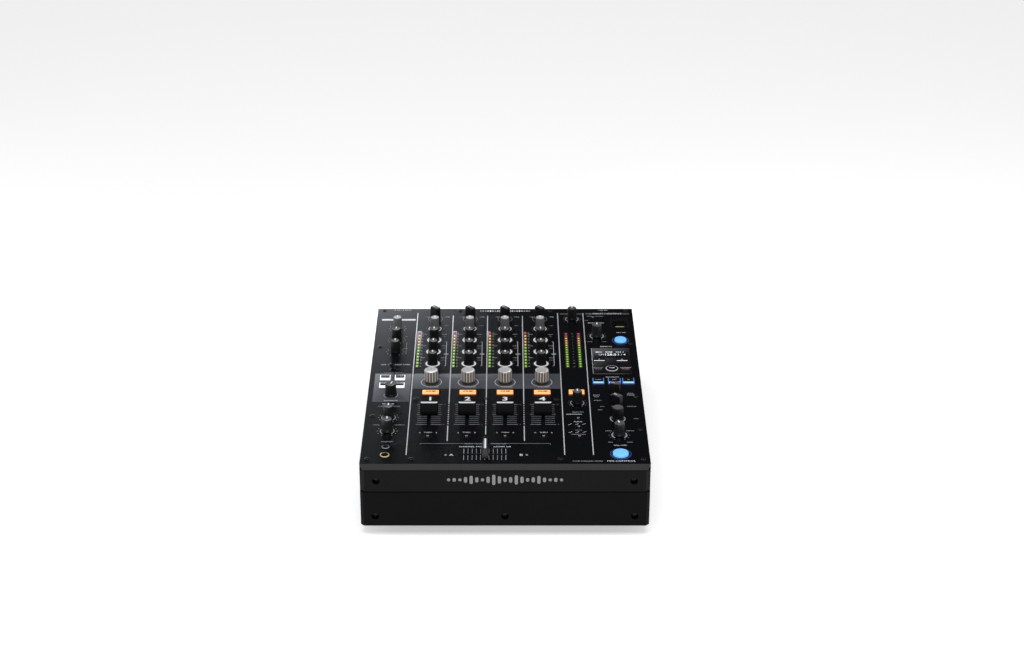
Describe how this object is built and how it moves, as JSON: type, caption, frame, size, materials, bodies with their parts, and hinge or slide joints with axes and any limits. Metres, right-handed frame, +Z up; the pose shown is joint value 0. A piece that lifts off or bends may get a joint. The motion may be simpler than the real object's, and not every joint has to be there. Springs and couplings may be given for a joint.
{
  "type": "dj mixer",
  "caption": "Low black tabletop audio mixer with rows of rotary knobs, lit cue keys, sliding channel faders, a crossfader, a glossy display block and a socketed rear panel.",
  "frame": {"origin": "centre of the footprint on the surface that the feet stand on", "axes": "+Z up, +Y from the front lip towards the rear sockets, +X to the right of someone facing the front"},
  "size_m": [0.3202, 0.409, 0.1079],
  "materials": {
    "faceplate_paint": "satin black powder paint with printed scales",
    "fascia_paint": "satin black paint",
    "chassis_paint": "satin black paint",
    "rear_paint": "satin black paint",
    "display_gloss": "glossy black window",
    "board_fibre": "green circuit board",
    "supply_metal": "plain sheet metal and components",
    "foot_rubber": "matt black rubber",
    "knob_black": "black soft-touch plastic, fluted",
    "knob_grey": "grey soft-touch plastic",
    "knob_silver": "metal-plated plastic, fluted",
    "cue_orange": "translucent cap lit orange",
    "button_blue": "translucent cap lit blue",
    "fader_black": "black plastic with a white line",
    "fader_silver": "silver grey plastic with a white line"
  },
  "bodies": {
    "case": {"faceplate": "faceplate_paint", "front_fascia": "fascia_paint", "chassis_tub": "chassis_paint", "rear_panel": "rear_paint", "display_module": "display_gloss", "control_board": "board_fibre", "power_supply": "supply_metal", "foot_front_left": "foot_rubber", "foot_front_right": "foot_rubber", "foot_rear_left": "foot_rubber", "foot_rear_right": "foot_rubber"},
    "ch1_input_selector": {"ch1_input_selector": "knob_black"},
    "ch1_trim_knob": {"ch1_trim_knob": "knob_grey"},
    "ch1_hi_knob": {"ch1_hi_knob": "knob_black"},
    "ch1_mid_knob": {"ch1_mid_knob": "knob_black"},
    "ch1_low_knob": {"ch1_low_knob": "knob_black"},
    "ch1_color_knob": {"ch1_color_knob": "knob_silver"},
    "ch2_input_selector": {"ch2_input_selector": "knob_black"},
    "ch2_trim_knob": {"ch2_trim_knob": "knob_grey"},
    "ch2_hi_knob": {"ch2_hi_knob": "knob_black"},
    "ch2_mid_knob": {"ch2_mid_knob": "knob_black"},
    "ch2_low_knob": {"ch2_low_knob": "knob_black"},
    "ch2_color_knob": {"ch2_color_knob": "knob_silver"},
    "ch3_input_selector": {"ch3_input_selector": "knob_black"},
    "ch3_trim_knob": {"ch3_trim_knob": "knob_grey"},
    "ch3_hi_knob": {"ch3_hi_knob": "knob_black"},
    "ch3_mid_knob": {"ch3_mid_knob": "knob_black"},
    "ch3_low_knob": {"ch3_low_knob": "knob_black"},
    "ch3_color_knob": {"ch3_color_knob": "knob_silver"},
    "ch4_input_selector": {"ch4_input_selector": "knob_black"},
    "ch4_trim_knob": {"ch4_trim_knob": "knob_grey"},
    "ch4_hi_knob": {"ch4_hi_knob": "knob_black"},
    "ch4_mid_knob": {"ch4_mid_knob": "knob_black"},
    "ch4_low_knob": {"ch4_low_knob": "knob_black"},
    "ch4_color_knob": {"ch4_color_knob": "knob_silver"},
    "master_level_knob": {"master_level_knob": "knob_black"},
    "booth_level_knob": {"booth_level_knob": "knob_black"},
    "mic_level_knob": {"mic_level_knob": "knob_grey"},
    "mic_hi_knob": {"mic_hi_knob": "knob_black"},
    "mic_low_knob": {"mic_low_knob": "knob_black"},
    "parameter_knob": {"parameter_knob": "knob_black"},
    "headphone_mixing_knob": {"headphone_mixing_knob": "knob_black"},
    "headphone_level_knob": {"headphone_level_knob": "knob_black"},
    "send_return_knob": {"send_return_knob": "knob_black"},
    "effect_select_knob": {"effect_select_knob": "knob_black"},
    "effect_channel_knob": {"effect_channel_knob": "knob_black"},
    "effect_time_knob": {"effect_time_knob": "knob_black"},
    "effect_depth_knob": {"effect_depth_knob": "knob_black"},
    "ch1_fader_cap": {"ch1_fader_cap": "fader_black"},
    "ch2_fader_cap": {"ch2_fader_cap": "fader_black"},
    "ch3_fader_cap": {"ch3_fader_cap": "fader_black"},
    "ch4_fader_cap": {"ch4_fader_cap": "fader_black"},
    "crossfader_cap": {"crossfader_cap": "fader_silver"},
    "ch1_cue_button": {"ch1_cue_button": "cue_orange"},
    "ch2_cue_button": {"ch2_cue_button": "cue_orange"},
    "ch3_cue_button": {"ch3_cue_button": "cue_orange"},
    "ch4_cue_button": {"ch4_cue_button": "cue_orange"},
    "master_cue_button": {"master_cue_button": "cue_orange"},
    "upper_round_button": {"upper_round_button": "button_blue"},
    "effect_on_button": {"effect_on_button": "button_blue"}
  },
  "joints": [
    {"name": "ch1_fader_slide", "type": "slide", "parent": "case", "child": "ch1_fader_cap", "axis": [0, 1, 0], "range_m": [-0.0245, 0.0205]},
    {"name": "ch2_fader_slide", "type": "slide", "parent": "case", "child": "ch2_fader_cap", "axis": [0, 1, 0], "range_m": [-0.0245, 0.0205]},
    {"name": "ch3_fader_slide", "type": "slide", "parent": "case", "child": "ch3_fader_cap", "axis": [0, 1, 0], "range_m": [-0.0245, 0.0205]},
    {"name": "ch4_fader_slide", "type": "slide", "parent": "case", "child": "ch4_fader_cap", "axis": [0, 1, 0], "range_m": [-0.0245, 0.0205]},
    {"name": "crossfader_slide", "type": "slide", "parent": "case", "child": "crossfader_cap", "axis": [1, 0, 0], "range_m": [-0.0225, 0.0225]},
    {"name": "ch1_input_selector_turn", "type": "hinge", "parent": "case", "child": "ch1_input_selector", "pos_m": [-0.0868, 0.16625, 0.091], "axis": [0, 0, 1], "range_deg": [-90, 0]},
    {"name": "ch1_trim_turn", "type": "hinge", "parent": "case", "child": "ch1_trim_knob", "pos_m": [-0.0868, 0.13875, 0.091], "axis": [0, 0, 1], "range_deg": [-150, 150]},
    {"name": "ch1_mid_turn", "type": "hinge", "parent": "case", "child": "ch1_mid_knob", "pos_m": [-0.0868, 0.07525, 0.091], "axis": [0, 0, 1], "range_deg": [-150, 150]},
    {"name": "ch1_color_turn", "type": "hinge", "parent": "case", "child": "ch1_color_knob", "pos_m": [-0.0868, -0.00525, 0.091], "axis": [0, 0, 1], "range_deg": [-150, 150]},
    {"name": "effect_select_turn", "type": "hinge", "parent": "case", "child": "effect_select_knob", "pos_m": [0.1278, -0.03875, 0.091], "axis": [0, 0, 1], "range_deg": [-226, 74]},
    {"name": "effect_channel_turn", "type": "hinge", "parent": "case", "child": "effect_channel_knob", "pos_m": [0.1288, -0.06875, 0.091], "axis": [0, 0, 1], "range_deg": [-170, 70]},
    {"name": "effect_time_turn", "type": "hinge", "parent": "case", "child": "effect_time_knob", "pos_m": [0.1285, -0.09575, 0.091], "axis": [0, 0, 1], "continuous": true},
    {"name": "effect_depth_turn", "type": "hinge", "parent": "case", "child": "effect_depth_knob", "pos_m": [0.1285, -0.13425, 0.091], "axis": [0, 0, 1], "range_deg": [-165, 135]},
    {"name": "master_level_turn", "type": "hinge", "parent": "case", "child": "master_level_knob", "pos_m": [0.0835, 0.16625, 0.091], "axis": [0, 0, 1], "range_deg": [-150, 150]},
    {"name": "parameter_turn", "type": "hinge", "parent": "case", "child": "parameter_knob", "pos_m": [-0.133, -0.03775, 0.091], "axis": [0, 0, 1], "range_deg": [-150, 150]},
    {"name": "mic_level_turn", "type": "hinge", "parent": "case", "child": "mic_level_knob", "pos_m": [-0.133, 0.13925, 0.091], "axis": [0, 0, 1], "range_deg": [-150, 150]},
    {"name": "headphone_level_turn", "type": "hinge", "parent": "case", "child": "headphone_level_knob", "pos_m": [-0.133, -0.12475, 0.091], "axis": [0, 0, 1], "range_deg": [-150, 150]},
    {"name": "send_return_turn", "type": "hinge", "parent": "case", "child": "send_return_knob", "pos_m": [0.1128, 0.11825, 0.091], "axis": [0, 0, 1], "range_deg": [-150, 150]},
    {"name": "effect_on_press", "type": "slide", "parent": "case", "child": "effect_on_button", "axis": [0, 0, -1], "range_m": [0, 0.001], "stiffness_N_per_m": 250},
    {"name": "upper_round_press", "type": "slide", "parent": "case", "child": "upper_round_button", "axis": [0, 0, -1], "range_m": [0, 0.001], "stiffness_N_per_m": 250},
    {"name": "master_cue_press", "type": "slide", "parent": "case", "child": "master_cue_button", "axis": [0, 0, -1], "range_m": [0, 0.001], "stiffness_N_per_m": 250},
    {"name": "ch1_cue_press", "type": "slide", "parent": "case", "child": "ch1_cue_button", "axis": [0, 0, -1], "range_m": [0, 0.001], "stiffness_N_per_m": 250},
    {"name": "ch1_hi_turn", "type": "hinge", "parent": "case", "child": "ch1_hi_knob", "pos_m": [-0.0868, 0.10725, 0.091], "axis": [0, 0, 1], "range_deg": [-150, 150]},
    {"name": "ch1_low_turn", "type": "hinge", "parent": "case", "child": "ch1_low_knob", "pos_m": [-0.0868, 0.04325, 0.091], "axis": [0, 0, 1], "range_deg": [-150, 150]},
    {"name": "ch2_input_selector_turn", "type": "hinge", "parent": "case", "child": "ch2_input_selector", "pos_m": [-0.0434, 0.16625, 0.091], "axis": [0, 0, 1], "range_deg": [-90, 0]},
    {"name": "ch2_trim_turn", "type": "hinge", "parent": "case", "child": "ch2_trim_knob", "pos_m": [-0.0434, 0.13875, 0.091], "axis": [0, 0, 1], "range_deg": [-150, 150]},
    {"name": "ch2_hi_turn", "type": "hinge", "parent": "case", "child": "ch2_hi_knob", "pos_m": [-0.0434, 0.10725, 0.091], "axis": [0, 0, 1], "range_deg": [-150, 150]},
    {"name": "ch2_mid_turn", "type": "hinge", "parent": "case", "child": "ch2_mid_knob", "pos_m": [-0.0434, 0.07525, 0.091], "axis": [0, 0, 1], "range_deg": [-150, 150]},
    {"name": "ch2_low_turn", "type": "hinge", "parent": "case", "child": "ch2_low_knob", "pos_m": [-0.0434, 0.04325, 0.091], "axis": [0, 0, 1], "range_deg": [-150, 150]},
    {"name": "ch2_color_turn", "type": "hinge", "parent": "case", "child": "ch2_color_knob", "pos_m": [-0.0434, -0.00525, 0.091], "axis": [0, 0, 1], "range_deg": [-150, 150]},
    {"name": "ch3_input_selector_turn", "type": "hinge", "parent": "case", "child": "ch3_input_selector", "pos_m": [0, 0.16625, 0.091], "axis": [0, 0, 1], "range_deg": [-90, 0]},
    {"name": "ch3_trim_turn", "type": "hinge", "parent": "case", "child": "ch3_trim_knob", "pos_m": [0, 0.13875, 0.091], "axis": [0, 0, 1], "range_deg": [-150, 150]},
    {"name": "ch3_hi_turn", "type": "hinge", "parent": "case", "child": "ch3_hi_knob", "pos_m": [0, 0.10725, 0.091], "axis": [0, 0, 1], "range_deg": [-150, 150]},
    {"name": "ch3_mid_turn", "type": "hinge", "parent": "case", "child": "ch3_mid_knob", "pos_m": [0, 0.07525, 0.091], "axis": [0, 0, 1], "range_deg": [-150, 150]},
    {"name": "ch3_low_turn", "type": "hinge", "parent": "case", "child": "ch3_low_knob", "pos_m": [0, 0.04325, 0.091], "axis": [0, 0, 1], "range_deg": [-150, 150]},
    {"name": "ch3_color_turn", "type": "hinge", "parent": "case", "child": "ch3_color_knob", "pos_m": [0, -0.00525, 0.091], "axis": [0, 0, 1], "range_deg": [-150, 150]},
    {"name": "ch4_input_selector_turn", "type": "hinge", "parent": "case", "child": "ch4_input_selector", "pos_m": [0.0434, 0.16625, 0.091], "axis": [0, 0, 1], "range_deg": [-90, 0]},
    {"name": "ch4_trim_turn", "type": "hinge", "parent": "case", "child": "ch4_trim_knob", "pos_m": [0.0434, 0.13875, 0.091], "axis": [0, 0, 1], "range_deg": [-150, 150]},
    {"name": "ch4_hi_turn", "type": "hinge", "parent": "case", "child": "ch4_hi_knob", "pos_m": [0.0434, 0.10725, 0.091], "axis": [0, 0, 1], "range_deg": [-150, 150]},
    {"name": "ch4_mid_turn", "type": "hinge", "parent": "case", "child": "ch4_mid_knob", "pos_m": [0.0434, 0.07525, 0.091], "axis": [0, 0, 1], "range_deg": [-150, 150]},
    {"name": "ch4_low_turn", "type": "hinge", "parent": "case", "child": "ch4_low_knob", "pos_m": [0.0434, 0.04325, 0.091], "axis": [0, 0, 1], "range_deg": [-150, 150]},
    {"name": "ch4_color_turn", "type": "hinge", "parent": "case", "child": "ch4_color_knob", "pos_m": [0.0434, -0.00525, 0.091], "axis": [0, 0, 1], "range_deg": [-150, 150]},
    {"name": "booth_level_turn", "type": "hinge", "parent": "case", "child": "booth_level_knob", "pos_m": [0.0835, -0.05725, 0.091], "axis": [0, 0, 1], "range_deg": [-150, 150]},
    {"name": "mic_hi_turn", "type": "hinge", "parent": "case", "child": "mic_hi_knob", "pos_m": [-0.133, 0.10725, 0.091], "axis": [0, 0, 1], "range_deg": [-150, 150]},
    {"name": "mic_low_turn", "type": "hinge", "parent": "case", "child": "mic_low_knob", "pos_m": [-0.133, 0.07475, 0.091], "axis": [0, 0, 1], "range_deg": [-150, 150]},
    {"name": "headphone_mixing_turn", "type": "hinge", "parent": "case", "child": "headphone_mixing_knob", "pos_m": [-0.133, -0.09275, 0.091], "axis": [0, 0, 1], "range_deg": [-150, 150]},
    {"name": "ch2_cue_press", "type": "slide", "parent": "case", "child": "ch2_cue_button", "axis": [0, 0, -1], "range_m": [0, 0.001], "stiffness_N_per_m": 250},
    {"name": "ch3_cue_press", "type": "slide", "parent": "case", "child": "ch3_cue_button", "axis": [0, 0, -1], "range_m": [0, 0.001], "stiffness_N_per_m": 250},
    {"name": "ch4_cue_press", "type": "slide", "parent": "case", "child": "ch4_cue_button", "axis": [0, 0, -1], "range_m": [0, 0.001], "stiffness_N_per_m": 250}
  ]
}
